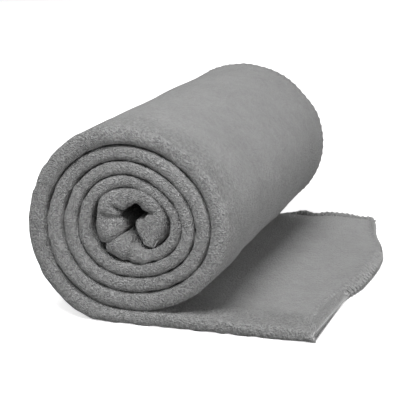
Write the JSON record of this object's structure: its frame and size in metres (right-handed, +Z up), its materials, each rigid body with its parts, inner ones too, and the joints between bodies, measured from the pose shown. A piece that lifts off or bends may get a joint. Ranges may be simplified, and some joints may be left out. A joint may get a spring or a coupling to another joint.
{
  "type": "folded throw blanket",
  "caption": "Fleece throw folded lengthwise into a strip and rolled up, with its bound end lying out flat beside the roll.",
  "frame": {"origin": "on the flat underside, below the roll's axis and half way along it", "axes": "+Y along the roll's axis towards the edge with the selvedges, +X towards the loose end, +Z up"},
  "size_m": [0.2259, 0.317, 0.1448],
  "materials": {
    "fleece": "brushed grey polyester fleece, matt with a short nap",
    "thread": "grey overlock thread, matt"
  },
  "bodies": {
    "roll": {"fleece_roll": "fleece", "inner_selvedge_stitch_roll": "thread", "outer_selvedge_stitch_roll": "thread", "core_end_stitch": "thread"},
    "tail": {"fleece_tail": "fleece", "inner_selvedge_stitch_tail": "thread", "outer_selvedge_stitch_tail": "thread", "free_end_stitch": "thread"}
  },
  "joints": [
    {"name": "tail_lift", "type": "hinge", "parent": "roll", "child": "tail", "pos_m": [0.06, 0, 0.01043], "axis": [0, -1, 0], "range_deg": [0, 60]}
  ]
}
